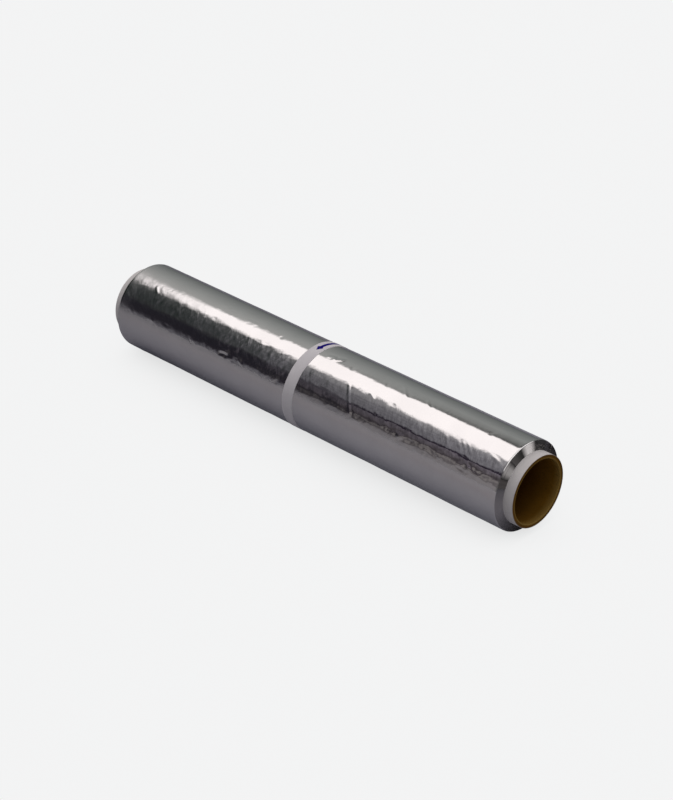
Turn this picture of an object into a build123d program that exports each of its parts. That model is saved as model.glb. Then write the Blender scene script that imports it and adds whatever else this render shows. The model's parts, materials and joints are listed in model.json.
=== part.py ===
from build123d import *
import os
from math import acos, cos, degrees, radians, sin

# A roll of aluminium foil lying on its side: the wound foil on its card core, held by a paper band.
# Sizes are in millimetres. X runs along the roll's axis and Z is up. The roll lies on the plane Z = 0,
# and the origin is on that plane under the roll's middle. Angles about the axis are in degrees, from
# the back of the roll (+Y) over its top (+Z) to its front (-Y), which is the way the foil is pulled off.

# Wound foil
foil_width = 300.0        # width of the web, so the length of every turn
winding_depth = 5.4       # depth of the wound turns over the core
telescope_shift = 1.5     # how far the innermost turns have slid along X past the outermost ones
turn_packs = 9            # packs of turns that show as steps on the two ends
tail_lift = 0.12          # height of the free edge where the outer turn ends
tail_angle = 40.0         # place of that free edge
flat_depth = 0.2          # how far the soft turns are pressed flat where the roll lies

# Card core, a kraft tube with a white outer ply
core_bore = 38.0          # inner diameter of the tube
core_wall = 2.0           # thickness of the kraft tube
core_ply = 0.4            # thickness of the white ply around it
core_overhang = 8.0       # length of core that stands out past the outer turn at each end
core_lip = 0.5            # rounding of the mouth of the bore

# Paper band that keeps the roll from unwinding
band_width = 8.0
band_centre = -4.0        # place of the band's middle along X
band_lean = 2.6           # angle by which the band lies askew
band_lean_side = 55.0     # place round the roll where it leans furthest towards +X
band_thickness = 0.12
band_lap = 15.0           # length over which the band's two glued ends overlap
band_lap_angle = 4.0      # place of the outer end of that overlap

# Sizes that follow from the ones above
tube_radius = core_bore / 2 + core_wall
core_radius = tube_radius + core_ply
foil_radius = core_radius + winding_depth
core_length = foil_width + 2 * core_overhang
axis_height = foil_radius - flat_depth


def polar(radius, angle):
    """Point of a cross-section at that radius and angle about the roll's axis."""
    return radius * cos(radians(angle)), radius * sin(radians(angle))


def wound_section(growth, bridged):
    """Cross-section over the outer turn, grown outwards by growth.

    Two half circles make one turn of a spiral: one about the axis, and one about a centre that lies
    half the tail's height off it, so that the turn ends in a free edge. Where bridged, a straight
    tangent spans the step below that edge, as paper pulled tight over it does.
    """
    inner_radius = foil_radius + growth
    tail_radius = inner_radius + tail_lift
    tail_point = polar(tail_radius, tail_angle)
    bridge = degrees(acos(inner_radius / tail_radius)) if bridged else 0.0
    landing_angle = tail_angle + bridge
    outer_centre = polar(tail_lift / 2, tail_angle)
    outer_turn = CenterArc(outer_centre, inner_radius + tail_lift / 2, tail_angle - 180, 180)
    step = Line(tail_point, polar(inner_radius, landing_angle))
    lower_turn = CenterArc((0, 0), inner_radius, landing_angle, 180 - bridge)
    return Plane.YZ * make_face([outer_turn, step, lower_turn])


def prism(section):
    """Solid with that cross-section, which runs along X past both ends of the roll."""
    return Pos(-foil_width, 0, 0) * extrude(section, amount=2 * foil_width)


def flattened(solid, height):
    """The solid without what lies below that height above the table."""
    side = 2 * foil_width
    below = Box(side, side, side, align=(Align.CENTER, Align.CENTER, Align.MAX))
    return solid - Pos(0, 0, height - axis_height) * below


def sector(radius, start_angle, end_angle):
    """Slice of a cross-section between two angles, as far out as radius."""
    arc = CenterArc((0, 0), radius, start_angle, end_angle - start_angle)
    return Plane.YZ * make_face([Line((0, 0), arc @ 0), arc, Line(arc @ 1, (0, 0))])


def ring(inner, outer, length):
    """Round tube about the roll's axis, centred on the origin."""
    section = Pos(0, (inner + outer) / 2) * Rectangle(length, outer - inner)
    return revolve(section, axis=Axis.X)


def telescoped_turns():
    """Solid of revolution whose ends step along X from pack to pack, each pack one web wide."""
    reach = foil_radius + 2 * tail_lift
    pack_depth = winding_depth / turn_packs
    right_end = []
    for pack in range(turn_packs):
        shift = telescope_shift * (1 - pack / (turn_packs - 1))
        bottom = core_radius + pack * pack_depth
        top = bottom + pack_depth if pack < turn_packs - 1 else reach
        right_end += [(foil_width / 2 + shift, bottom), (foil_width / 2 + shift, top)]
    left_end = [(x - foil_width, radius) for x, radius in reversed(right_end)]
    return revolve(make_face(Polyline(*right_end, *left_end, close=True)), axis=Axis.X)


def band_zone():
    """Slab across the roll that holds the band, a little askew."""
    slab = Box(band_width, 4 * foil_radius, 4 * foil_radius)
    return Pos(band_centre, 0, 0) * Rot(X=band_lean_side) * Rot(Z=-band_lean) * slab


def foil_winding():
    """The wound web: spiral outside, stepped ends, flat underside and the seat of the band there."""
    turns = flattened(prism(wound_section(0.0, bridged=False)) & telescoped_turns(), 0.0)
    banded_turns = turns & band_zone()
    return turns - (banded_turns - flattened(banded_turns, band_thickness))


def paper_band():
    """Strip of paper around the winding, flat where the roll lies on it, with its ends lapped."""
    inside = flattened(prism(wound_section(0.0, bridged=True)), band_thickness)
    one_layer = prism(wound_section(band_thickness, bridged=True))
    two_layers = prism(wound_section(2 * band_thickness, bridged=True))
    lap_start = band_lap_angle - degrees(band_lap / foil_radius)
    lap_slice = prism(sector(2 * foil_radius, lap_start, band_lap_angle))
    return (flattened(one_layer, 0.0) + (two_layers & lap_slice) - inside) & band_zone()


def core_tube():
    """Kraft tube of the core, with the mouths of its bore rounded."""
    tube = ring(core_bore / 2, tube_radius, core_length)
    mouths = tube.edges().filter_by(GeomType.CIRCLE).sort_by(SortBy.RADIUS)[:2]
    return fillet(mouths, core_lip)


def core_white_ply():
    """White paper ply around the kraft tube."""
    return ring(tube_radius, core_radius, core_length)


pieces = {
    "foil_winding": foil_winding(),
    "paper_band": paper_band(),
    "core_tube": core_tube(),
    "core_white_ply": core_white_ply(),
}

os.makedirs("parts", exist_ok=True)
for name, piece in pieces.items():
    export_step(Pos(0, 0, axis_height) * piece, f"parts/{name}.step")
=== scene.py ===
import json
from math import acos, atan2, cos, degrees, pi, radians, sin, sqrt
import bpy
import numpy as np
from mathutils import Matrix, Vector


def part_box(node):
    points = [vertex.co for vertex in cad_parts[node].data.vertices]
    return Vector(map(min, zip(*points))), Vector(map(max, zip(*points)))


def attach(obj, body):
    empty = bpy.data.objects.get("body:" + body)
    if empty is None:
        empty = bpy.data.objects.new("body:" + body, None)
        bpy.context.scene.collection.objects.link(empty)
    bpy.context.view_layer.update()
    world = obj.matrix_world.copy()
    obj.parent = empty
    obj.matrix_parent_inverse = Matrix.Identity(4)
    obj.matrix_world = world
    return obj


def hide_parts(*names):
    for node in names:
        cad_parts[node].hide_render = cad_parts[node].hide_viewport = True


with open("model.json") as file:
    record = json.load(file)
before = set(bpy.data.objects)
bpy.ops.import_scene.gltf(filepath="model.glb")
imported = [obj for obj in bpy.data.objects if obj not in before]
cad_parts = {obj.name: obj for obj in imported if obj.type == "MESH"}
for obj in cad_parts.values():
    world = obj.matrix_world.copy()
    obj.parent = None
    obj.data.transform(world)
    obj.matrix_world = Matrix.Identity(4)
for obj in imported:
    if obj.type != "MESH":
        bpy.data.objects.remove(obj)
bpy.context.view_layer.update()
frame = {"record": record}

# The roll lies along X with its top towards +Z. Lengths are in metres. Angles about the roll's axis are
# in degrees, from the back (+Y) over the top (+Z) to the front (-Y), which is the way the foil pulls off.

# Sizes read from the frame
foil_low, foil_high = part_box("foil_winding")
ply_low, ply_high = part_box("core_white_ply")
tube_low, tube_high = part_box("core_tube")
band_low, band_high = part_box("paper_band")
bore_mount = next(mount for mount in frame["record"]["mounts"] if mount["name"] == "core_bore")
axis_height = (ply_low.z + ply_high.z) / 2
core_radius = (ply_high.z - ply_low.z) / 2
core_half = ply_high.x
tube_radius = (tube_high.z - tube_low.z) / 2
bore_radius = bore_mount["dims"]["r_mm"] / 1000
foil_radius = -foil_low.y
foil_half = -foil_low.x
telescope_shift = foil_high.x - foil_half
band_thickness = foil_low.y - band_low.y
band_middle = (band_low.x + band_high.x) / 2

# Wound foil
tail_lift = 0.00012  # height of the free edge where the outer turn ends
tail_angle = 40.0  # place of that free edge
tail_sweep = 0.15  # angle over which the free edge drops
tail_waver = 0.8  # angle by which that edge strays from a line
tail_waver_length = 0.05  # shortest wave of that waver
tail_curl = 0.00006  # how far the free edge lifts off
tail_curl_spread = 0.5  # share by which that varies
tail_curl_length = 0.02  # shortest wave in which it varies
tail_curl_reach = 0.002  # how far round the roll the lift goes back
end_rings = 20  # packs of turns that show as ridges on each end
ridge_share = 0.9  # share of a pack's depth that its ridge takes up
ridge_slope = 0.95  # steepness of each ridge's outer side
ridge_unevenness = 0.00001  # how far ridges stand out from their neighbours
rim_length = 0.0012  # length over which the outer turn's rims curve inwards
rim_drop = 0.00035  # how far they curve inwards
rim_tilts = 10, 20, 30, 42, 56, 72  # slopes of the mesh rows on a rim
wrinkle_fade = 8  # power with which wrinkles die out below the outer turn
hazy_end = 0.075  # length of the left end that is dulled by handling
worn_end = 0.009  # length at that end which is duller still
held_reach = 0.004  # how far from the band the foil is held smooth
smooth_angle = 108.0  # the top up to here is smoother than the front
rubbed_angle = 114.0  # the front from here on is rubbed
top_unevenness = 0.4  # share of the fine unevenness that the top has
felted_angles = 123.0, 157.0  # between these the front is dulled in fine strands
felt_fade = 7.0  # angle over which that dulling fades out

# Paper band, which lies a little askew, and the arrow printed on it
band_half = 0.004
band_lean_side = 55.0  # place round the roll where it leans furthest towards +X
band_lean = (band_high.x - band_low.x) / 2 - band_half
lean_reach = 0.02  # how far from the band the foil follows its lean
edge_slack = 1e-6  # takes in the foil's mesh columns on the band's edges
lap_angle = 4.0  # place of the outer end of the band's overlap
lap_length = 0.015
lap_ramp = 0.002  # length over which the outer layer climbs onto the inner one
lap_end_sweep = 0.2  # angle over which the outer end drops
band_edge_waver = 0.00006  # how far its cut edges stray from lines
band_edge_step = 0.0008  # spacing of the points along those edges
band_edge_length = 0.012  # shortest wave of their waver
arrow_tip_angle = 99.0
arrow_head_length = 0.0034
arrow_barb_length = 0.0009  # from the head's widest place back to the shaft
arrow_head_width = 0.0042
arrow_shaft_width = 0.0022
arrow_length = 0.024
ink_edge = -0.00004, 0.00006  # from no ink to full ink across the arrow's outline

# Card core
mouth_round = 0.0005
board_plies = 4  # layers of board that show on the tube's cut ends
ply_groove = 0.00005  # depth of the grooves between them
seam_pitch = 0.075  # length of core for one turn of its wound strips
seam_width = 0.0005
seam_depth = 0.00008
seam_fade = 0.004  # length from each mouth over which the seam starts
ply_seam_turn = 140.0  # angle between the seams of the bore and the ply
ply_edge_round = 0.00012  # rounding of the white ply's outer edges
collar_tuck = 0.006  # how far under the foil the ply's mesh steps begin

# Meshes: steps along or across each surface, and around it
foil_columns, foil_turn_steps = 364, 208
band_columns, band_turn_steps, band_lap_steps = 10, 190, 24
bore_columns, collar_columns, core_steps = 150, 24, 176
mouth_steps, ply_steps = 6, 6  # over the rounding of a mouth, and across each layer of board
sharp_angle = 35.0  # faces that meet more sharply are shaded apart
random = np.random.default_rng(7)


# Mesh helpers

def ring_mesh(name, points, lengths, angles):
    """Closed ring of points[i, j], where i runs round its section and j round the roll's axis.

    The map named pattern holds metres along the section and around the outer turn, for the materials.
    The map named OFBake lays the same grid out over the unit square.
    """
    rows, columns = points.shape[:2]
    i, j = np.meshgrid(np.arange(rows), np.arange(columns), indexing="ij")
    corner_rows = np.stack([i, i, i + 1, i + 1], axis=-1).reshape(-1)
    corner_columns = np.stack([j, j + 1, j + 1, j], axis=-1).reshape(-1)
    corners = (corner_rows % rows) * columns + corner_columns % columns
    mesh = bpy.data.meshes.new(name)
    mesh.from_pydata(points.reshape(-1, 3).tolist(), [], corners.reshape(-1, 4).tolist())
    closing = np.linalg.norm(points[-1] - points[0], axis=-1).mean()
    along = np.append(lengths, lengths[-1] + closing)[corner_rows]
    turned = np.append(angles, angles[0] + 360.0)[corner_columns]
    pattern = np.stack([along, np.radians(turned) * foil_radius], axis=-1)
    spread = (pattern - pattern.min(0)) / (pattern.max(0) - pattern.min(0))
    for map_name, places in (("pattern", pattern), ("OFBake", spread)):
        mesh.uv_layers.new(name=map_name).data.foreach_set("uv", places.astype(np.float32).ravel())
    mesh.polygons.foreach_set("use_smooth", np.ones(len(mesh.polygons), bool))
    mesh.set_sharp_from_angle(angle=radians(sharp_angle))
    piece = bpy.data.objects.new(name, mesh)
    bpy.context.scene.collection.objects.link(piece)
    return piece


def turned_points(x, radius, angle):
    """Points at those distances along the roll's axis, radii and angles about it."""
    turn = np.radians(angle) + 0 * x
    return np.stack([x + 0 * turn, radius * np.cos(turn), axis_height + radius * np.sin(turn)], axis=-1)


def arc_at(angle):
    """Length around the outer turn up to that angle."""
    return radians(angle) * foil_radius


def lengths_of(section):
    """Distance along a section to each of its points."""
    steps = np.linalg.norm(np.diff(np.asarray(section, float), axis=0), axis=1)
    return np.concatenate([[0.0], np.cumsum(steps)])


def rounded(corner, first_direction, radius, steps=4):
    """Points of a section round a corner, a quarter circle clockwise from first_direction."""
    directions = np.radians(first_direction - np.linspace(0, 90, steps + 1))
    bisector = radians(first_direction - 45)
    centre = np.subtract(corner, radius * sqrt(2) * np.array([cos(bisector), sin(bisector)]))
    return [tuple(centre + radius * np.array([cos(d), sin(d)])) for d in directions]


def smooth_line(count, step, wavelength):
    """Random waver of unit size along a line, with no waves shorter than wavelength."""
    waves = np.fft.rfft(random.standard_normal(count))
    waves *= np.exp(-((np.fft.rfftfreq(count, step) * wavelength) ** 2))
    line = np.fft.irfft(waves, count)
    return line / line.std()


# Wound foil

def winding_radius(angle):
    """Radius of the outer turn: round for half a turn past the tail, then rising up to it."""
    past_tail = np.radians((angle - tail_angle) % 360.0)
    offset = tail_lift / 2
    across = offset * np.sin(past_tail)
    rising = offset * np.cos(past_tail) + np.sqrt((foil_radius + offset) ** 2 - across ** 2)
    return np.where(past_tail > pi, rising, foil_radius)


def random_waves(shape, spacing, shortest, longest, stretch):
    """Random waves of unit height on the unrolled foil, stretch times as long around it as along it."""
    along = np.fft.fftfreq(shape[0], spacing[0])[:, None]
    round_roll = np.fft.rfftfreq(shape[1], spacing[1])[None, :] * stretch
    frequency = np.hypot(along, round_roll)
    kept = np.exp(-((frequency * shortest) ** 2)) * (1 - np.exp(-((frequency * longest) ** 2)))
    waves = np.fft.irfft2(np.fft.rfft2(random.standard_normal(shape)) * kept, s=shape)
    return waves / waves.std()


def crease(x, arc, start, end, width, height):
    """Raised fold along a line on the unrolled foil, with a shallower trough beside it."""
    run = np.subtract(end, start)
    length = np.hypot(*run)
    along = ((x - start[0]) * run[0] + (arc - start[1]) * run[1]) / length
    across = ((x - start[0]) * run[1] - (arc - start[1]) * run[0]) / length
    beyond = np.maximum(np.maximum(-along, along - length), 0.0)
    fold = np.exp(-((across / width) ** 2))
    trough = np.exp(-((across / width - trough_place) ** 2))
    return height * (fold - trough_depth * trough) * np.exp(-((beyond / width) ** 2))


def dent(x, arc, centre, width, height):
    """Small round dent or bump on the unrolled foil."""
    return height * np.exp(-((x - centre[0]) ** 2 + (arc - centre[1]) ** 2) / width ** 2)


def on_front(x, elevation):
    """Place on the unrolled foil that faces the front, that many degrees up from level."""
    return x, arc_at(180.0 - elevation)


# Waves: height, shortest and longest wave along the roll, and stretch around it
fine_waves = 0.000011, 0.004, 0.011, 0.45
broad_waves = 0.000012, 0.01, 0.03, 0.5
slow_waves = 0.00003, 0.03, 0.09, 1.0
patch_waves = 1.0, 0.012, 0.04, 1.0
patch_shares = 0.35, 0.9  # share of the fine waves everywhere, and what the patches add

# Random creases and dents: ranges of sizes, and means and spreads of directions and heights
crease_count = 220
crease_directions = 90.0, 30.0  # degrees from the roll's axis
crease_lengths = 0.002, 0.007
crease_widths = 0.0006, 0.0011
crease_heights = 0.0, 0.00002
trough_depth = 0.6  # of a crease's trough, as a share of its height
trough_place = 1.8  # how many widths beside the fold it lies
dent_count = 140
dent_widths = 0.0008, 0.002
dent_heights = 0.0, 0.00003

# Creases that stand out: x and degrees up from level of both ends, then width and height
marks = (
    (0.0325, 58.5, 0.0364, 45.5, 0.0006, 0.00011), (0.0372, 43.5, 0.0433, 21.5, 0.0006, 0.00009),
    (0.0488, 58.5, 0.052, 54.0, 0.0007, 0.0001), (0.0112, 78.0, 0.0169, 84.5, 0.0009, 0.00024),
    (0.0065, 79.0, 0.0102, 81.5, 0.0008, 0.00014), (0.0102, 81.5, 0.012, 78.0, 0.0008, 0.00014),
    (0.0617, 90.0, 0.0692, 75.7, 0.0006, 0.00006), (0.0817, 83.0, 0.0858, 74.8, 0.0006, 0.00007),
    (0.139, 53.5, 0.1488, 45.0, 0.0006, 0.00009), (0.1412, 53.0, 0.1492, 47.5, 0.0006, 0.00008),
    (0.1225, 52.0, 0.1268, 43.0, 0.0006, 0.00009), (0.1195, 50.5, 0.124, 41.0, 0.0006, 0.00009),
    (0.116, 50.5, 0.12, 43.0, 0.0006, 0.00008), (0.1075, 50.0, 0.11, 43.0, 0.0006, 0.00006),
    (-0.1292, 63.0, -0.1258, 55.5, 0.0006, 0.00013), (-0.1222, 25.0, -0.1202, 19.0, 0.0008, 0.00008),
    (-0.058, 77.2, -0.0495, 77.6, 0.0007, 0.00006), (-0.0458, 58.0, -0.0463, 45.0, 0.0006, 0.00003),
    (-0.0381, 53.0, -0.029, 60.0, 0.0007, 0.00004),
)

# Dents that stand out: x and degrees up from level, then width and height
pits = (
    (-0.0772, 60.5, 0.001, -0.00012), (-0.0285, 76.8, 0.0011, -0.00013),
    (-0.0435, 24.5, 0.0013, -0.00013), (0.1283, 77.5, 0.001, -0.0001),
    (0.0262, 78.5, 0.0009, -0.0001), (0.053, 78.0, 0.0008, -0.00008),
    (0.0875, 77.0, 0.0008, 0.00008), (0.0336, 55.5, 0.0008, 0.0001),
    (0.043, 22.0, 0.0008, -0.0001),
)

# Scuffed patches: ranges of x and of degrees up, number of marks and their height
scuffs = (
    (-0.064, -0.042, 18.0, 27.0, 22, 0.00006),
    (0.07, 0.142, 22.0, 31.0, 34, 0.00006),
    (0.015, 0.07, 20.0, 27.0, 12, 0.00003),
    (-0.145, -0.07, 18.0, 24.0, 12, 0.00003),
)
scuff_lengths = 0.001, 0.006
scuff_width = 0.0008
scuff_tilt = 1.2  # spread of the elevation gained along a mark


def handled(arc):
    """Share of the fine unevenness at that arc length: less on the top, all of it on the front."""
    return np.interp(arc, [arc_at(smooth_angle), arc_at(rubbed_angle)], [top_unevenness, 1.0])


def wrinkles(x, arc, spacing):
    """Height of the foil's waves, creases and dents over a grid of x and arc length."""
    def waves(height, shortest, longest, stretch):
        return height * random_waves(x.shape, spacing, shortest, longest, stretch)

    def anywhere():
        return random.uniform(-foil_half, foil_half), random.uniform(arc.min(), arc.max())

    patches = np.abs(waves(*patch_waves))
    height = waves(*fine_waves)
    height *= patch_shares[0] + patch_shares[1] * patches
    height += waves(*broad_waves)
    for _ in range(crease_count):
        start = anywhere()
        direction = radians(random.normal(*crease_directions))
        reach = random.uniform(*crease_lengths)
        end = start[0] + reach * cos(direction), start[1] + reach * sin(direction)
        height += crease(x, arc, start, end, random.uniform(*crease_widths), random.normal(*crease_heights))
    for _ in range(dent_count):
        height += dent(x, arc, anywhere(), random.uniform(*dent_widths), random.normal(*dent_heights))
    height *= handled(arc)
    height += waves(*slow_waves)
    for start_x, start_up, end_x, end_up, width, lift in marks:
        height += crease(x, arc, on_front(start_x, start_up), on_front(end_x, end_up), width, lift)
    for centre_x, up, width, lift in pits:
        height += dent(x, arc, on_front(centre_x, up), width, lift)
    for low_x, high_x, low_up, high_up, count, lift in scuffs:
        for _ in range(count):
            start_x, up = random.uniform(low_x, high_x), random.uniform(low_up, high_up)
            end_x, end_up = start_x + random.uniform(*scuff_lengths), up + random.normal(0, scuff_tilt)
            size = random.normal(0, lift)
            height += crease(x, arc, on_front(start_x, up), on_front(end_x, end_up), scuff_width, size)
    return height


def outer_columns():
    """X of the outer turn's mesh columns, with the band's edges and middle among them."""
    rim = foil_half - rim_length
    band_start, band_end = band_middle - band_half, band_middle + band_half
    left_count = round(foil_columns * (band_start + rim) / (2 * rim - 2 * band_half))
    left = np.linspace(-rim, band_start, left_count)
    right = np.linspace(band_end, rim, foil_columns - left_count)
    return np.concatenate([left, [band_middle], right])


def leaned(x, angle):
    """How far along X the band's lean takes it at that angle, and the foil near it with it."""
    beyond_band = np.maximum(np.abs(x - band_middle) - band_half, 0.0)
    followed = np.clip(1 - beyond_band / lean_reach, 0, 1)
    return band_lean * np.cos(np.radians(angle - band_lean_side)) * followed


def rim_rows(side):
    """Section of one rim, from the outer turn to the end: a quarter of a flat ellipse."""
    rows = []
    for tilt in rim_tilts:
        turn = atan2(sin(radians(tilt)) * rim_length, cos(radians(tilt)) * rim_drop)
        along, inwards = rim_length * (1 - sin(turn)), rim_drop * (1 - cos(turn))
        rows.append((side * (foil_half - along), foil_radius - inwards))
    return rows


def end_rows(side):
    """Section of one end, from its rim to the core: a slope with a ridge for each pack of turns."""
    outermost = foil_radius - rim_drop
    pitch = (outermost - core_radius) / end_rings
    rows = []
    for ring in range(end_rings):
        middle = side * foil_half + telescope_shift * ring / end_rings
        half_height = side * (ridge_slope * pitch / 2 + ridge_unevenness * random.uniform(-1, 1))
        radius = outermost - ring * pitch
        rows += [(middle - half_height, radius), (middle + half_height, radius - ridge_share * pitch)]
    return rows + [(side * foil_half + telescope_shift, core_radius)]


def foil_winding():
    """The wound foil: wrinkled outer turn, free edge, sloped ends and the flat that it lies on."""
    columns = outer_columns()
    outer = [(x, foil_radius) for x in columns]
    right_rim, left_rim = rim_rows(1), rim_rows(-1)[::-1]
    right_end, left_end = end_rows(1), end_rows(-1)[::-1]
    section = np.array(outer + right_rim + right_end + left_end + left_rim)
    angles = tail_angle + np.linspace(0, 360.0 - tail_sweep, foil_turn_steps)
    x, inset = section[:, :1], section[:, 1:] - foil_radius
    looseness = np.clip(1 + inset / (foil_radius - core_radius), 0, 1)
    arc = np.radians(angles) * foil_radius
    grid_x, grid_arc = np.meshgrid(columns, arc, indexing="ij")
    column_step = columns[1] - columns[0]
    height = wrinkles(grid_x, grid_arc, (column_step, arc[1] - arc[0]))
    curl = 1 + tail_curl_spread * smooth_line(len(columns), column_step, tail_curl_length)[:, None]
    height += tail_curl * curl * np.exp(-(arc[-1] - grid_arc) / tail_curl_reach)
    height *= np.clip((np.abs(grid_x - band_middle) - band_half) / held_reach, 0, 1)
    end_count = (len(section) - len(columns)) // 2
    heights = height[np.append(np.arange(len(columns)), np.repeat([-1, 0], end_count))]
    grown = winding_radius(angles)[None, :] - foil_radius
    radius = foil_radius + inset + looseness * grown + looseness ** wrinkle_fade * heights
    waver = tail_waver * smooth_line(len(columns), column_step, tail_waver_length)
    turned = angles[None, :] + np.interp(x, columns, waver)
    points = turned_points(x + leaned(x, turned), radius, turned)
    under_band = (np.abs(x - band_middle) < band_half + edge_slack) & (inset == 0)
    points[..., 2] = np.maximum(points[..., 2], np.where(under_band, band_thickness, 0.0))
    piece = ring_mesh("foil_wound_web", points, lengths_of(section), angles)
    piece.data.materials.append(foil_material())
    piece.data.materials.append(foil_end_material())
    first_end_row = len(outer) + len(right_rim)
    last_end_row = len(section) - len(left_rim) - 1
    slots = np.zeros((len(section), len(angles)), np.int32)
    slots[first_end_row:last_end_row] = 1
    piece.data.polygons.foreach_set("material_index", slots.ravel())
    return piece


# Paper band

def band_inner_radius(angle, landing):
    """Radius of the band's inner face: the outer turn's, but straight over its free edge."""
    bridged = foil_radius / np.cos(np.radians(landing - angle))
    on_bridge = (angle >= tail_angle) & (angle <= landing)
    return np.where(on_bridge, bridged, winding_radius(angle))


def band_strip():
    """Strip of paper round the middle of the roll, its ends glued one over the other."""
    landing = tail_angle + degrees(acos(foil_radius / (foil_radius + tail_lift)))
    lap_start = lap_angle - degrees(lap_length / foil_radius) + 360.0
    ramp_start = lap_start - degrees(lap_ramp / foil_radius)
    one_layer = np.linspace(lap_angle + lap_end_sweep, ramp_start, band_turn_steps)
    two_layers = np.linspace(lap_start, lap_angle + 360.0, band_lap_steps)
    angles = np.sort(np.concatenate([one_layer, two_layers, [tail_angle, landing]]))
    layers = np.interp(angles, [ramp_start, lap_start], [1.0, 2.0])
    inner = band_inner_radius(angles, landing)
    across = np.linspace(-1, 1, band_columns)
    across = np.concatenate([across, across[::-1]])[:, None]
    outside = np.repeat([1.0, 0.0], band_columns)[:, None]
    left_edge, right_edge = (
        band_edge_waver * smooth_line(len(angles), band_edge_step, band_edge_length) for _ in range(2))
    x = band_middle + band_half * across + left_edge * (1 - across) / 2 + right_edge * (1 + across) / 2
    x = x + leaned(x, angles[None, :])
    points = turned_points(x, inner + outside * band_thickness * layers, angles[None, :])
    points[..., 2] = np.maximum(points[..., 2], (1 - outside) * band_thickness)
    along = lengths_of(np.hstack([band_half * across, band_thickness * outside]))
    piece = ring_mesh("band_strip", points, along, angles)
    piece.data.materials.append(band_material())
    return piece


# Card core

def seam_groove(x, angle):
    """Depth of the helical seam between two turns of a wound strip."""
    turns = x / seam_pitch + angle / 360.0
    off_seam = (turns - np.round(turns)) * seam_pitch
    return seam_depth * np.exp(-((off_seam / seam_width) ** 2))


def core_piece(name, section, seam_share, seam_turn, material):
    """Ring of the core with that section, grown by a share of the seam's depth at each point."""
    angles = np.linspace(0, 360, core_steps, endpoint=False)
    x, radius = section[:, :1], section[:, 1:]
    radius = radius + seam_share * seam_groove(x, angles + seam_turn)
    piece = ring_mesh(name, turned_points(x, radius, angles[None, :]), lengths_of(section), angles)
    piece.data.materials.append(material)
    return piece


def core_board():
    """Kraft tube: bore with a seam, rounded mouths and cut ends with grooves between plies."""
    wall = tube_radius - bore_radius
    round_centre = bore_radius + mouth_round
    end_radius = np.linspace(tube_radius, round_centre, ply_steps * board_plies + 1)
    groove = ply_groove * (0.5 + 0.5 * np.cos((tube_radius - end_radius) / wall * 2 * pi * board_plies))
    right_end = list(zip(core_half - groove, end_radius))
    outward_round = rounded((core_half, bore_radius + 2 * mouth_round), 90, mouth_round, mouth_steps)
    right_mouth = [(x, 2 * round_centre - radius) for x, radius in outward_round][-2::-1]
    bore_reach = core_half - mouth_round
    bore = [(x, bore_radius) for x in np.linspace(bore_reach, -bore_reach, bore_columns)[1:-1]]
    left_half = [(-x, radius) for x, radius in reversed(right_end + right_mouth)]
    section = np.array(right_end + right_mouth + bore + left_half)
    in_bore = np.clip((core_half - np.abs(section[:, :1])) / seam_fade, 0, 1)
    return core_piece("core_board", section, in_bore, 0.0, kraft_material())


def core_paper_ply():
    """White outer ply of the core, with the seam of its wound strip."""
    collar = np.linspace(foil_half - collar_tuck, core_half - ply_edge_round, collar_columns)
    outer = [(x, core_radius) for x in np.concatenate([-collar[-2::-1], collar[:-1]])]
    right_edge = rounded((core_half, core_radius), 90, ply_edge_round)
    left_edge = rounded((-core_half, core_radius), 180, ply_edge_round)
    inner = [(core_half, tube_radius), (-core_half, tube_radius)]
    section = np.array(outer + right_edge + inner + left_edge)
    outside = np.where(section[:, 1:] > core_radius - ply_edge_round / 2, 1.0, 0.0)
    return core_piece("core_paper_ply", section, -outside, ply_seam_turn, ply_material())


# Material helpers

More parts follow.
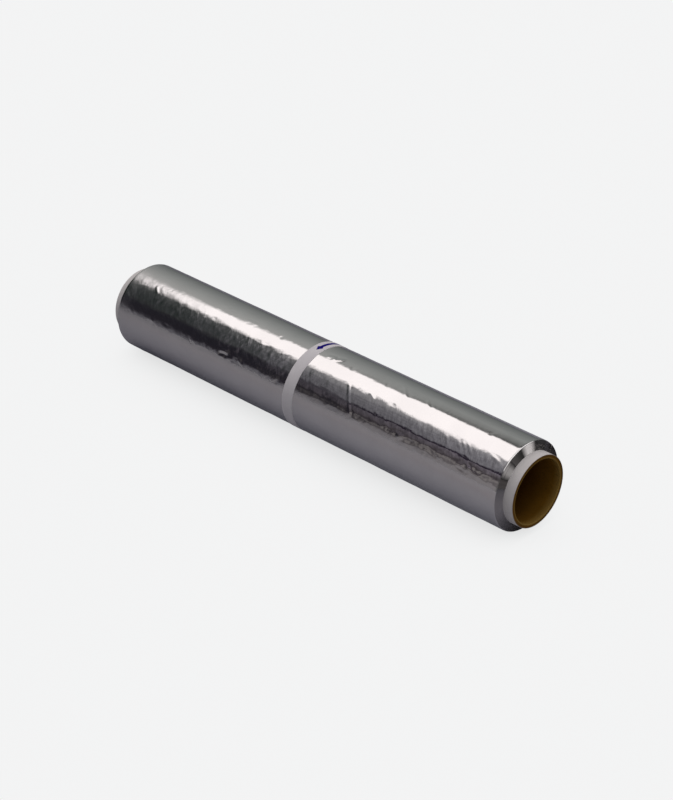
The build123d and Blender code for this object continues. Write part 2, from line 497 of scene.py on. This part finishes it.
class Nodes:
    """The nodes of one new material, and short ways to add to them."""

    def __init__(self, name):
        self.material = bpy.data.materials.new(name)
        self.material.use_nodes = True
        self.tree = self.material.node_tree
        self.tree.nodes.clear()
        self.output = self.tree.nodes.new("ShaderNodeOutputMaterial")

    def feed(self, entry, value):
        """Give an input that value, or link it to that socket; a colour is opaque."""
        if isinstance(value, bpy.types.NodeSocket):
            self.tree.links.new(value, entry)
        elif entry.type == "RGBA":
            entry.default_value = (*value, 1.0)
        else:
            entry.default_value = value

    def add(self, kind, inputs=None, **settings):
        """New node with those settings and inputs."""
        node = self.tree.nodes.new("ShaderNode" + kind)
        for name, value in settings.items():
            setattr(node, name, value)
        for name, value in (inputs or {}).items():
            self.feed(node.inputs[name], value)
        return node

    def math(self, operation, *values):
        return self.add("Math", dict(enumerate(values)), operation=operation).outputs[0]

    def product(self, first, *others):
        """Those values times each other."""
        for other in others:
            first = self.math("MULTIPLY", first, other)
        return first

    def vector(self, operation, first, second):
        """That operation on two vectors or colours; a number counts for all three parts."""
        return self.add("VectorMath", {0: first, 1: second}, operation=operation).outputs["Vector"]

    def split(self, vector):
        return self.add("SeparateXYZ", {"Vector": vector}).outputs

    def place(self):
        """X, Y and Z of the place on the surface."""
        return self.split(self.add("TexCoord").outputs["Object"])

    def pattern(self, along=1.0, around=1.0, turn=0.0):
        """Place on the surface, unrolled, turned and multiplied in each direction."""
        place = self.add("UVMap", uv_map="pattern").outputs["UV"]
        if turn:
            settings = {"Vector": place, "Angle": radians(turn)}
            place = self.add("VectorRotate", settings, rotation_type="Z_AXIS").outputs["Vector"]
        return self.vector("MULTIPLY", place, (along, around, 1.0))

    def noise(self, along, around, detail=2.0, roughness=0.5, turn=0.0):
        """Noise of about that many features per metre along the surface and around it."""
        return self.add("TexNoise", {
            "Vector": self.pattern(along, around, turn), "Scale": 1.0, "Detail": detail,
            "Roughness": roughness,
        }).outputs["Fac"]

    def ramp(self, value, *stops):
        """Colour ramp over value, from stops of a position, red, green and blue."""
        node = self.add("ValToRGB", {"Fac": value})
        elements = node.color_ramp.elements
        while len(elements) < len(stops):
            elements.new(0.5)
        for element, (position, *colour) in zip(elements, stops):
            element.position = position
            element.color = (*colour, 1.0)
        return node.outputs["Color"]

    def scaled(self, value, low, high, to_low, to_high):
        """Value mapped from one range to another and kept inside it."""
        return self.add("MapRange", {
            "Value": value, "From Min": low, "From Max": high, "To Min": to_low, "To Max": to_high,
        }).outputs["Result"]

    def rising(self, value, run, full=1.0):
        """Share that climbs from nought to full over a run of value."""
        return self.scaled(value, *run, 0.0, full)

    def falling(self, value, run, full=1.0):
        """Share that drops from full to nought over a run of value."""
        return self.scaled(value, *run, full, 0.0)

    def between(self, value, first_run, last_run):
        """Share that climbs over the first run of value and drops over the last."""
        return self.product(self.rising(value, first_run), self.falling(value, last_run))

    def bump(self, height, distance):
        """Normal of a surface with those heights times a distance."""
        return self.add("Bump", {"Height": height, "Distance": distance, "Strength": 1.0}).outputs["Normal"]

    def mix(self, share, first, second):
        """Mix of two colours, with that share of the second."""
        node = self.add("Mix", {"Factor": share}, data_type="RGBA")
        self.feed(node.inputs[6], first)
        self.feed(node.inputs[7], second)
        return node.outputs[2]

    def surface(self, **inputs):
        """Finish with a principled surface; underscores stand for spaces."""
        shader = self.add("BsdfPrincipled", {name.replace("_", " "): v for name, v in inputs.items()})
        self.feed(self.output.inputs["Surface"], shader.outputs["BSDF"])
        return self.material

    def paper(self, colour, fibre, height, roughness, gloss):
        """Finish as paper or board, with its fibre in roughness and relief."""
        return self.surface(
            Base_Color=colour, Roughness=self.scaled(fibre, 0.3, 0.7, *roughness),
            Normal=self.bump(fibre, height), Specular_IOR_Level=gloss)

    def glow(self, colour, strength=1.0, share=None):
        """Finish with plain emission, clear where a given share is nought."""
        shader = self.add("Emission", {"Color": colour, "Strength": strength}).outputs[0]
        if share is not None:
            clear = self.add("BsdfTransparent").outputs[0]
            shader = self.add("MixShader", {0: share, 1: clear, 2: shader}).outputs[0]
        self.feed(self.output.inputs["Surface"], shader)
        return self.material


# Materials of the roll, where pairs of tints are stops over a noise

black = (0.0, 0.0, 0.0)
foil_tints = (0.35, 0.79, 0.79, 0.795), (0.65, 0.82, 0.82, 0.825)
felt_tint = (0.46, 0.45, 0.465)
turn_edge_tints = (0.3, 0.46, 0.445, 0.445), (0.62, 0.54, 0.525, 0.525)
band_tints = (0.3, 0.73, 0.71, 0.74), (0.7, 0.79, 0.77, 0.8)
ink_tint = (0.008, 0.0008, 0.2)
ply_tints = (0.3, 0.755, 0.732, 0.728), (0.7, 0.825, 0.8, 0.796)
ply_cut_tint = (0.2, 0.1, 0.02)
kraft_tints = (0.3, 0.215, 0.102, 0.01), (0.7, 0.3, 0.145, 0.015)
kraft_fleck_tint = (0.11, 0.05, 0.006)
# painted shade deep inside the bore
kraft_painted_shade_tint = (0.105, 0.032, 0.003)
# painted highlight on the rounded mouths of the tube
kraft_mouth_highlight_tint = (0.43, 0.29, 0.085)
hair_turns = 32, -48  # directions of the fine scratches in the foil
felt_turn = 30  # direction of the strands that dull it
grain_height = 0.00007  # of those scratches
ring_height = 0.0000006  # of the turns' edges on the ends
band_fibre_height = 0.000015
ply_fibre_height = 0.00002
kraft_fibre_height = 0.00004
kraft_painted_shade_run = 0.006, 0.024  # distance from a cut end over which painted shade darkens the bore


def foil_material():
    """Bright side of the foil: fine scratches, faint clouds, dulled strands and a duller left end."""
    nodes = Nodes("foil_bright_side")
    along, around, _ = nodes.split(nodes.pattern())
    hairs = nodes.math("ADD", *(nodes.noise(800, 300, detail=3.0, turn=turn) for turn in hair_turns))
    patches = nodes.scaled(nodes.noise(90, 90), 0.35, 0.65, 0.2, 1.0)
    by_angle = nodes.scaled(around, arc_at(smooth_angle), arc_at(rubbed_angle), top_unevenness, 1.0)
    by_length = nodes.scaled(along, foil_half, 1.15 * foil_half, 0.7, 0.45)
    grain = nodes.product(hairs, nodes.product(patches, by_angle, by_length))
    clouds = nodes.noise(70, 50, detail=2.0)
    tint = nodes.ramp(clouds, *foil_tints)
    strands = nodes.noise(620, 260, detail=4.0, roughness=0.65, turn=felt_turn)
    felt_from, felt_to = (arc_at(angle) for angle in felted_angles)
    felt_edge = arc_at(felt_fade)
    felted = nodes.between(around, (felt_from, felt_from + felt_edge), (felt_to - felt_edge, felt_to))
    felted = nodes.product(felted, nodes.scaled(along, foil_half, 1.6 * foil_half, 0.35, 0.75))
    tint = nodes.mix(nodes.product(nodes.rising(strands, (0.38, 0.62)), felted), tint, felt_tint)
    polish = nodes.scaled(nodes.noise(160, 90, detail=4.0), 0.35, 0.7, 0.05, 0.1)
    haze = nodes.falling(along, (hazy_end / 5, hazy_end), 0.06)
    worn = nodes.falling(along, (0.6 * worn_end, 1.4 * worn_end), 0.1)
    roughness = nodes.math("ADD", nodes.math("ADD", polish, haze), worn)
    return nodes.surface(
        Base_Color=tint, Metallic=1.0, Roughness=roughness, Normal=nodes.bump(grain, grain_height))


def foil_end_material():
    """Cut edges of the turns on the ends: fine rings that spread light across them."""
    nodes = Nodes("foil_turn_edges")
    rings = nodes.noise(5000, 12, detail=3.0, roughness=0.6)
    tint = nodes.ramp(rings, *turn_edge_tints)
    tangent = nodes.add("Tangent", direction_type="RADIAL", axis="X").outputs["Tangent"]
    return nodes.surface(
        Base_Color=tint, Metallic=1.0, Roughness=0.06, Anisotropic=0.4, Tangent=tangent,
        Normal=nodes.bump(rings, ring_height))


def band_material():
    """Thin white paper with a faint fibre, and the printed arrow."""
    nodes = Nodes("band_white_paper")
    fibre = nodes.noise(1800, 700, detail=5.0, roughness=0.65)
    clouds = nodes.noise(220, 120, detail=3.0)
    paper = nodes.ramp(clouds, *band_tints)
    across, around, _ = nodes.split(nodes.pattern())
    behind_tip = nodes.math("SUBTRACT", arc_at(arrow_tip_angle), around)
    off_line = nodes.math("ABSOLUTE", nodes.math("SUBTRACT", across, band_half))
    point = nodes.product(behind_tip, arrow_head_width / 2 / arrow_head_length)
    barb_slope = (arrow_head_width - arrow_shaft_width) / 2 / arrow_barb_length
    past_point = nodes.math("SUBTRACT", behind_tip, arrow_head_length)
    barbs = nodes.math("MULTIPLY_ADD", past_point, -barb_slope, arrow_head_width / 2)
    reach = nodes.math("MINIMUM", point, nodes.math("MAXIMUM", barbs, arrow_shaft_width / 2))
    inside = nodes.rising(nodes.math("SUBTRACT", reach, off_line), ink_edge)
    started = nodes.math("LESS_THAN", behind_tip, arrow_length)
    ink = nodes.product(inside, started, nodes.scaled(fibre, 0.25, 0.45, 0.95, 1.0))
    gloss = nodes.scaled(ink, 0.0, 1.0, 0.35, 0.05)
    return nodes.paper(nodes.mix(ink, paper, ink_tint), fibre, band_fibre_height, (0.55, 0.75), gloss)


def ply_material():
    """White-lined core paper: fine fibre, faint mottling, and brown where it is cut."""
    nodes = Nodes("core_white_paper")
    fibre = nodes.noise(1500, 600, detail=5.0, roughness=0.65)
    clouds = nodes.noise(160, 90, detail=4.0)
    paper = nodes.ramp(clouds, *ply_tints)
    from_end = nodes.math("SUBTRACT", core_half, nodes.math("ABSOLUTE", nodes.place()["X"]))
    cut = nodes.falling(from_end, (0.0, 0.5 * ply_edge_round), 0.85)
    return nodes.paper(nodes.mix(cut, paper, ply_cut_tint), fibre, ply_fibre_height, (0.6, 0.8), 0.3)


def kraft_material():
    """Brown board: long fibres, dark flecks, slow changes of tone, painted shade deep in the bore, and a
    painted highlight on the mouths.
    """
    nodes = Nodes("core_kraft_board")
    fibres = nodes.noise(300, 1400, detail=5.0, roughness=0.7)
    flecks = nodes.noise(700, 900, detail=3.0)
    clouds = nodes.noise(60, 40, detail=3.0)
    colour = nodes.ramp(clouds, *kraft_tints)
    colour = nodes.mix(nodes.rising(flecks, (0.6, 0.72), 0.55), colour, kraft_fleck_tint)
    face = tube_radius - bore_radius - mouth_round
    section_length = 2 * (face + pi / 2 * mouth_round + core_half - mouth_round)
    along = nodes.split(nodes.pattern())["X"]
    from_cut = nodes.math("MINIMUM", along, nodes.math("SUBTRACT", section_length, along))
    # Painted shade: the bore darkens with depth from each cut end.
    colour = nodes.mix(nodes.rising(from_cut, kraft_painted_shade_run, 0.75), colour, kraft_painted_shade_tint)
    colour = nodes.mix(nodes.falling(from_cut, (0.8 * face, face), 0.35), colour, kraft_fleck_tint)
    # Painted highlight: the mouths' roundings and the bore just inside them are lightened.
    past_face = nodes.rising(from_cut, (0.7 * face, face + 0.5 * mouth_round), 0.65)
    on_mouth_highlight = nodes.falling(from_cut, (face + mouth_round, face + 10 * mouth_round))
    colour = nodes.mix(nodes.product(past_face, on_mouth_highlight), colour, kraft_mouth_highlight_tint)
    return nodes.paper(colour, fibres, kraft_fibre_height, (0.65, 0.85), 0.12)


# Studio, which the camera sees only as a pale floor and a plain background

background = (0.897, 0.9, 0.902)
ambient_light = (0.29, 0.29, 0.295)

# Lights overhead, which face down: left, right, front and back sides, and height above the roll's axis
softbox_sheet = -0.5, 0.3, -0.32, 0.2, 0.4
softbox_tint, softbox_light = (1.0, 0.935, 0.92), 1.2
softbox_dim_end, softbox_dim_share = (-0.5, -0.42), 0.6  # x over which it is dimmer, down to that share
# Its long edges: y at the left, what is added from one x to another, and the width of the fade at
# both ends of the run below
softbox_front_edge = (
    -0.095, ((-0.5, -0.34, -0.055), (-0.285, -0.25, 0.014), (-0.235, -0.19, -0.045)), (0.1, 0.055))
softbox_back_edge = 0.141, ((-0.4, -0.3, 0.043),), (-0.065, -0.03)
softbox_fade_run = -0.45, -0.25
rim_light_sheet = 0.01, 0.27, -0.43, 0.62, 0.4
rim_light_tint, rim_light_strength = (1.0, 0.96, 0.95), 1.1
rim_light_run = 0.01, 0.09  # x over which it gains that strength
fill_sheet = -0.05, 0.25, 0.1, 0.4, 0.6
fill_tint, fill_strength = (1.0, 0.98, 0.97), 1.1

# Cards: directions of both ends from the roll's right end, then width and light
cards = (
    ("card_bright", (0.29, 0.87, 0.4), (0.59, 0.355, 0.725), 0.3, 1.0),
    ("card_dim", (0.724, -0.12, 0.68), (0.762, -0.58, 0.29), 0.24, 0.48),
)
card_fade = 0.36  # share of a card's length over which each end fades
card_tint = (1.0, 0.97, 0.96)

# Room: a height is the sine of an angle up from level, a run is a stretch over which something changes
room_radius = 1.4
room_foot = -0.1  # angle up from level at which its dome starts
room_eye = 0.001  # angle left open at the dome's top
right_low_bands = (
    (0.0, 0.212, 0.195, 0.2), (0.14, 0.208, 0.191, 0.196), (0.17, 0.15, 0.136, 0.14),
    (0.2, 0.115, 0.103, 0.106), (0.24, 0.15, 0.135, 0.138), (0.28, 0.205, 0.185, 0.182),
    (0.345, 0.21, 0.19, 0.186), (0.375, 0.14, 0.126, 0.128), (0.4, 0.075, 0.064, 0.069),
    (0.43, 0.058, 0.049, 0.055), (0.46, 0.105, 0.092, 0.099), (0.49, 0.122, 0.107, 0.119),
    (0.54, 0.13, 0.114, 0.13))
right_high_from = 0.53
right_high_bands = (
    (0.53, 0.13, 0.114, 0.13), (0.555, 0.115, 0.1, 0.116), (0.58, 0.014, 0.01, 0.018),
    (0.615, 0.014, 0.01, 0.018), (0.65, 0.118, 0.112, 0.124), (0.7, 0.148, 0.142, 0.154),
    (0.73, 0.118, 0.113, 0.125), (0.76, 0.16, 0.153, 0.165), (0.79, 0.128, 0.123, 0.134),
    (0.82, 0.18, 0.173, 0.184), (0.85, 0.142, 0.136, 0.146), (0.88, 0.215, 0.207, 0.216),
    (0.92, 0.25, 0.24, 0.246))
left_bands = (
    (0.0, 0.13, 0.124, 0.136), (0.05, 0.108, 0.103, 0.115), (0.115, 0.068, 0.064, 0.073),
    (0.185, 0.035, 0.032, 0.039), (0.25, 0.017, 0.015, 0.02), (0.53, 0.018, 0.017, 0.022),
    (0.63, 0.02, 0.022, 0.022), (0.7, 0.017, 0.022, 0.02), (0.94, 0.01, 0.016, 0.014))
back_bands = (
    (0.0, 0.13, 0.138, 0.134), (0.39, 0.207, 0.214, 0.208), (0.63, 0.268, 0.274, 0.264),
    (0.8, 0.325, 0.328, 0.316), (0.92, 0.38, 0.375, 0.362))
# The low bands on the right lie lower towards the left
lean_heights, lean_run, lean_drop = (0.16, 0.3), (-0.76, -0.63), 0.08
# A pale line among them is lost there, and a dark gap above them is filled
line_first, line_last, line_run, line_loss = (0.14, 0.19), (0.33, 0.39), (-0.8, -0.72), 0.55
gap_first, gap_last, gap_run, gap_filling = (0.55, 0.58), (0.615, 0.65), (-0.81, -0.75), 0.85
gap_colour = (0.095, 0.088, 0.1)
# The high ones are brighter towards the right
bright_run, bright_factors = (-0.76, -0.62), (1.05, 1.55)
# The foot of the left wall is steeper towards the right
steep_from, steep_run, steep_gain, steep_fade = 0.085, (-0.99, -0.9), 0.6, (0.2, 0.35)
# How the left wall gives way to the right one, low down and higher up
low_change = ((-0.875, -0.8), 0.45), ((-0.8, -0.63), 0.55)
high_change_run = -1.05, -0.8
high_change = (0.0, 0.0), (0.42, 0.2), (0.66, 0.33), (0.77, 0.54), (1.0, 0.97)
high_change_heights = 0.53, 0.63
# The back wall is dimmed high up towards the right: heights, run and share
back_dimming = ((0.64, 0.88), (-0.81, -0.6), 0.6), ((0.82, 0.89), (-0.86, -0.62), 0.35)
front_to_back = -0.1, 0.25
# All walls are dim towards the right, darker at the back
dim_run, dim_share = (-0.6, 0.5), 0.85
dim_front_to_back = 0.15, 0.55
dim_front, dim_back = (0.08, 0.075, 0.073), (0.012, 0.012, 0.013)

# Floor that the camera sees
floor_radius = 4.0
shadow_reach = 0.25  # how far the floor looks for what shades it
shadow_range = 0.95, 0.1  # open shares of the sky where the shadow starts and is full
shadow_depth = 0.2  # share of the floor's light lost under the roll

# Table that the roll reflects
table_drop = 0.0005  # below the floor
table_colour = (0.305, 0.302, 0.335)
# Its own light at distances in front of the roll's axis, stronger from left to right up to its end
table_bands = (
    (0.0, 0.01, 0.01, 0.015), (0.03, 0.009, 0.0085, 0.0135), (0.042, 0.004, 0.004, 0.006),
    (0.065, 0.018, 0.016, 0.016), (0.118, 0.036, 0.029, 0.026), (0.2, 0.054, 0.047, 0.045),
    (0.6, 0.118, 0.108, 0.107))
table_run, table_strength, table_end = (-0.35, 0.15), (0.75, 1.7), (0.15, 0.21)
# What is added near the roll, and the even glow behind its right end
near_distances, near_run, near_glow = (0.02, 0.1), (-0.15, 0.03), 0.02
behind_x, behind_y, behind_glow = (0.15, 0.19), (0.0, 0.04), (0.066, 0.064, 0.066)


def studio_piece(name, nodes, shape, *seen_by, lamp=False):
    """A piece of the studio, seen only by the rays that are named; only a lamp's light is sampled."""
    mesh = bpy.data.meshes.new("studio_" + name)
    mesh.from_pydata(shape[0], [], shape[1])
    mesh.materials.append(nodes.material)
    if not lamp:
        nodes.material.cycles.emission_sampling = "NONE"
    piece = bpy.data.objects.new(mesh.name, mesh)
    bpy.context.scene.collection.objects.link(piece)
    for rays in ("camera", "diffuse", "glossy", "transmission", "shadow"):
        setattr(piece, "visible_" + rays, rays in seen_by)


def overhead(left, right, front, back, height):
    """Points and single face of a level sheet that faces down, that high above the roll's axis."""
    level = axis_height + height
    corners = (left, back), (right, back), (right, front), (left, front)
    return [(x, y, level) for x, y in corners], [range(4)]


def disc(radius, height, steps=64):
    """Points and single face of a flat round sheet."""
    turns = np.linspace(0, 2 * pi, steps, endpoint=False)
    return [(radius * cos(t), radius * sin(t), height) for t in turns], [range(steps)]


def dome(radius, rings=24, steps=64):
    """Points and faces of half a sphere, which starts a little below the floor."""
    points = []
    for lift in np.linspace(room_foot, pi / 2 - room_eye, rings):
        points += disc(radius * cos(lift), radius * sin(lift), steps)[0]
    faces = []
    for ring in range(rings - 1):
        for step in range(steps):
            low, low_next = ring * steps + step, ring * steps + (step + 1) % steps
            faces.append((low, low_next, low_next + steps, low + steps))
    return points, faces


def softbox():
    """Long soft light, dimmer towards its left end and faded along its two long edges."""
    nodes = Nodes("softbox_light")
    x, y, _ = nodes.place()
    level = nodes.scaled(x, *softbox_dim_end, softbox_dim_share * softbox_light, softbox_light)
    share = 1.0
    for edge, steps, fades in (softbox_front_edge, softbox_back_edge):
        for start, end, change in steps:
            edge = nodes.math("ADD", edge, nodes.rising(x, (start, end), change))
        from_edge = nodes.math("SUBTRACT", y, edge)
        lit = nodes.math("DIVIDE", from_edge, nodes.scaled(x, *softbox_fade_run, *fades))
        share = nodes.product(share, nodes.rising(lit, (0.0, 1.0)))
    nodes.glow(softbox_tint, level, share)
    studio_piece("softbox", nodes, overhead(*softbox_sheet), "diffuse", "glossy", lamp=True)


def rim_light():
    """Strip over the right end, which only the curved rim there reflects to the front."""
    nodes = Nodes("rim_light")
    nodes.glow(rim_light_tint, nodes.rising(nodes.place()["X"], rim_light_run, rim_light_strength))
    studio_piece("rim_light", nodes, overhead(*rim_light_sheet), "glossy")


def fill_light():
    """Weak light from above and behind, for the tops of the band and the core."""
    nodes = Nodes("fill_light")
    nodes.glow(fill_tint, fill_strength)
    studio_piece("fill_light", nodes, overhead(*fill_sheet), "diffuse", lamp=True)


def card(name, first, second, width, light):
    """Pale card between two directions from the right end, which only reflections show."""
    end = Vector((foil_half, 0, axis_height))
    first, second = Vector(first).normalized(), Vector(second).normalized()
    side = first.cross(second).normalized() * width / 2
    span = second - first
    nodes = Nodes(name)
    inputs = {0: nodes.add("TexCoord").outputs["Object"], 1: tuple(span / span.length_squared)}
    along = nodes.add("VectorMath", inputs, operation="DOT_PRODUCT").outputs["Value"]
    from_first = nodes.math("SUBTRACT", along, (end + first).dot(span) / span.length_squared)
    from_end = nodes.math("MINIMUM", from_first, nodes.math("SUBTRACT", 1.0, from_first))
    nodes.glow(card_tint, nodes.rising(from_end, (0.0, card_fade), light))
    corners = [end + first - side, end + second - side, end + second + side, end + first + side]
    studio_piece(name, nodes, (corners, [range(4)]), "glossy")


def right_wall(nodes, x, height):
    """Front wall towards the right, in bands."""
    leaning = nodes.product(nodes.rising(height, lean_heights), nodes.falling(x, lean_run, lean_drop))
    low = nodes.ramp(nodes.math("ADD", height, leaning), *right_low_bands)
    on_line = nodes.between(height, line_first, line_last)
    low = nodes.mix(nodes.product(on_line, nodes.falling(x, line_run, line_loss)), low, black)
    high = nodes.ramp(height, *right_high_bands)
    in_gap = nodes.between(height, gap_first, gap_last)
    high = nodes.mix(nodes.product(in_gap, nodes.falling(x, gap_run, gap_filling)), high, gap_colour)
    high = nodes.vector("MULTIPLY", high, nodes.scaled(x, *bright_run, *bright_factors))
    return nodes.mix(nodes.math("GREATER_THAN", height, right_high_from), low, high)


def left_wall(nodes, x, height):
    """Front wall towards the left, almost black above its foot."""
    steeper = nodes.product(
        nodes.math("SUBTRACT", height, steep_from), nodes.rising(x, steep_run, steep_gain),
        nodes.falling(height, steep_fade))
    return nodes.ramp(nodes.math("ADD", height, steeper), *left_bands)


def right_share(nodes, x, height):
    """Share of the right wall against the left one."""
    low = nodes.math("ADD", *(nodes.rising(x, run, share) for run, share in low_change))
    stops = ((place, share, share, share) for place, share in high_change)
    high = nodes.ramp(nodes.rising(x, high_change_run), *stops)
    raised = nodes.rising(height, high_change_heights)
    return nodes.math("MULTIPLY_ADD", raised, nodes.math("SUBTRACT", high, low), low)


def back_wall(nodes, x, height):
    """Back wall, paler with height."""
    wall = nodes.ramp(height, *back_bands)
    for heights, run, share in back_dimming:
        dimmed = nodes.product(nodes.rising(height, heights), nodes.rising(x, run, share))
        wall = nodes.mix(dimmed, wall, black)
    return wall


def room():
    """Dim room that only reflections show, in bands that run along X."""
    nodes = Nodes("room_walls")
    x, y, z = nodes.place()
    off_axis = nodes.math("SQRT", nodes.math("MULTIPLY_ADD", y, y, nodes.product(z, z)))
    height = nodes.math("DIVIDE", z, off_axis)
    front = nodes.mix(
        right_share(nodes, x, height), left_wall(nodes, x, height), right_wall(nodes, x, height))
    walls = nodes.mix(nodes.rising(y, front_to_back), front, back_wall(nodes, x, height))
    dim_tone = nodes.mix(nodes.rising(y, dim_front_to_back), dim_front, dim_back)
    nodes.glow(nodes.mix(nodes.rising(x, dim_run, dim_share), walls, dim_tone))
    studio_piece("room", nodes, dome(room_radius), "glossy")


def floor():
    """Pale floor that only the camera sees, with a soft shadow under the roll."""
    nodes = Nodes("floor_pale")
    occlusion = nodes.add("AmbientOcclusion", {"Distance": shadow_reach}, samples=16)
    hidden = nodes.rising(occlusion.outputs["AO"], shadow_range)
    nodes.glow(background, nodes.math("MULTIPLY_ADD", nodes.product(hidden, hidden), -shadow_depth, 1.0))
    studio_piece("floor", nodes, disc(floor_radius, 0.0), "camera")


def table():
    """Grey table that the roll reflects, with some light of its own."""
    nodes = Nodes("table_grey")
    x, y, _ = nodes.place()
    in_front = nodes.product(y, -1.0)
    near = nodes.product(nodes.falling(in_front, near_distances), nodes.rising(x, near_run, near_glow))
    light = nodes.vector("ADD", nodes.ramp(in_front, *table_bands), near)
    strength = nodes.product(nodes.scaled(x, *table_run, *table_strength), nodes.falling(x, table_end))
    behind_end = nodes.product(nodes.rising(x, behind_x), nodes.rising(y, behind_y))
    light = nodes.vector("MULTIPLY", light, strength)
    nodes.surface(
        Base_Color=nodes.mix(behind_end, table_colour, black), Roughness=0.8,
        Specular_IOR_Level=nodes.falling(behind_end, (0.0, 1.0), 0.2), Emission_Strength=1.0,
        Emission_Color=nodes.mix(behind_end, light, behind_glow))
    studio_piece("table", nodes, disc(room_radius, -table_drop), "diffuse", "glossy")


def background_and_ambient():
    """Plain background for the camera, and dim light from all sides."""
    world = bpy.data.worlds.new("studio")
    world.use_nodes = True
    tree = world.node_tree
    tree.nodes.clear()
    choice = tree.nodes.new("ShaderNodeMixShader")
    for entry, colour in ((1, ambient_light), (2, background)):
        shader = tree.nodes.new("ShaderNodeBackground")
        shader.inputs["Color"].default_value = (*colour, 1.0)
        tree.links.new(shader.outputs[0], choice.inputs[entry])
    rays = tree.nodes.new("ShaderNodeLightPath")
    tree.links.new(rays.outputs["Is Camera Ray"], choice.inputs[0])
    output = tree.nodes.new("ShaderNodeOutputWorld")
    tree.links.new(choice.outputs[0], output.inputs["Surface"])
    world.cycles_visibility.glossy = False
    bpy.context.scene.world = world
    bpy.context.scene.view_settings.view_transform = "Standard"


# Camera, at the photograph's viewing angle

view_azimuth = 43.92  # turned this far from the front towards the right end
view_elevation = 29.95
view_distance = 1.3057  # from the middle of the roll's axis
sensor_width = 36.0  # in millimetres, for the longer side of the image
focal_length_pixels = 2262.3
image_width, image_height = 673, 800
roll_middle_pixel = 325.29, 389.35  # where the middle of the roll's axis is in the image


def camera():
    turn, rise = radians(view_azimuth), radians(view_elevation)
    back = Vector((sin(turn) * cos(rise), -cos(turn) * cos(rise), sin(rise)))
    right = Vector((cos(turn), sin(turn), 0.0))
    data = bpy.data.cameras.new("camera")
    data.sensor_width = sensor_width
    data.lens = focal_length_pixels * sensor_width / image_height
    data.shift_x = (image_width / 2 - roll_middle_pixel[0]) / image_height
    data.shift_y = (roll_middle_pixel[1] - image_height / 2) / image_height
    eye = bpy.data.objects.new("camera", data)
    eye.matrix_world = Matrix((right, back.cross(right), back)).transposed().to_4x4()
    eye.location = Vector((0, 0, axis_height)) + view_distance * back
    bpy.context.scene.collection.objects.link(eye)
    bpy.context.scene.camera = eye


def build():
    """The four pieces of the roll, then the studio around them."""
    made = (
        (foil_winding(), "foil_winding", "foil"),
        (band_strip(), "paper_band", "band_paper"),
        (core_board(), "core_tube", "kraft_board"),
        (core_paper_ply(), "core_white_ply", "white_ply"),
    )
    for piece, node, slot in made:
        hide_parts(node)
        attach(piece, "root")
    softbox()
    rim_light()
    fill_light()
    for settings in cards:
        card(*settings)
    room()
    floor()
    table()
    background_and_ambient()
    camera()


build()
